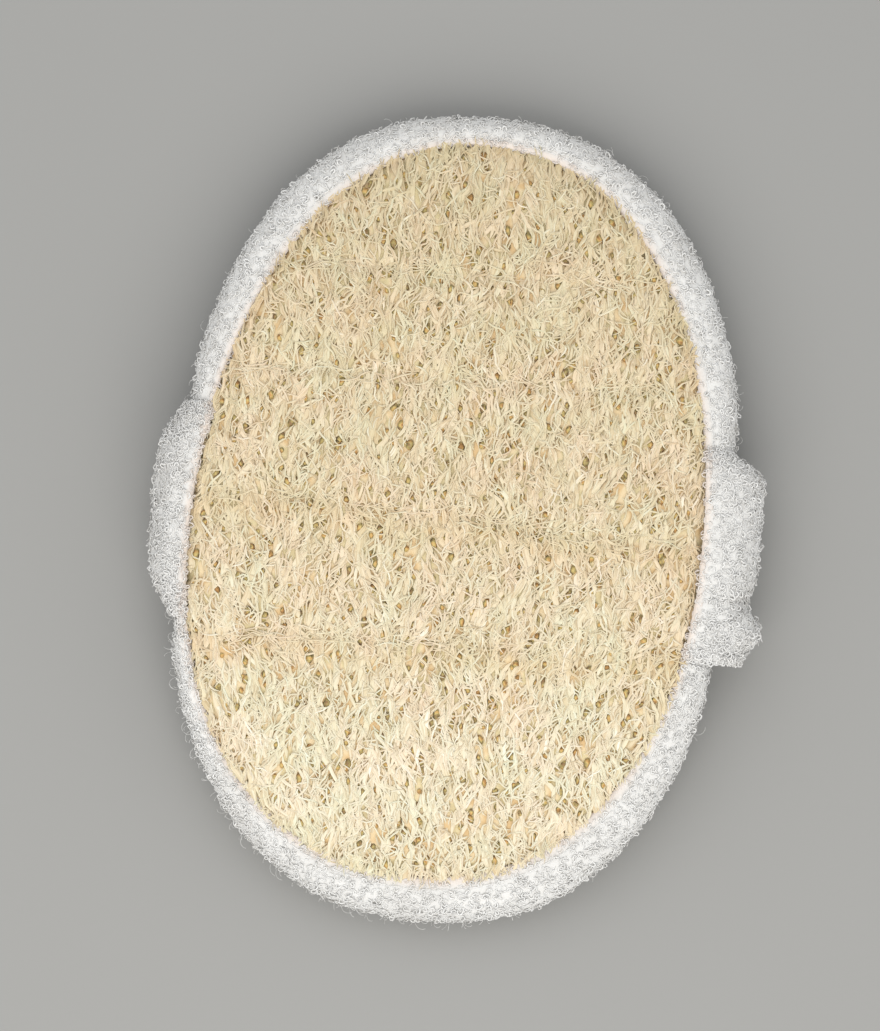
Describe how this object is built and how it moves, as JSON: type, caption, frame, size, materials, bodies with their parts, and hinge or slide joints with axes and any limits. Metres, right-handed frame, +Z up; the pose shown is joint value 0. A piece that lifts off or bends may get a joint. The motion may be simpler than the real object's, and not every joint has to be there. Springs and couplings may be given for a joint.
{
  "type": "loofah body pad with hand strap",
  "caption": "Oval washing pad: a raised loofah fibre face and a terry back in a folded terry edge binding, with a terry strap across the back for the hand.",
  "frame": {"origin": "middle of the footprint, on the surface that the pad lies on", "axes": "+Y along the pad's long axis, +X across it along the hand strap, +Z up out of the loofah face"},
  "size_m": [0.1272, 0.166, 0.0269],
  "materials": {
    "loofah": "dried loofah fibre, matte with a faint sheen along each fibre",
    "terry": "bleached cotton terry cloth with looped pile, matte"
  },
  "bodies": {
    "root": {"loofah_face": "loofah", "terry_back": "terry", "edge_binding": "terry", "hand_strap": "terry"}
  },
  "joints": []
}
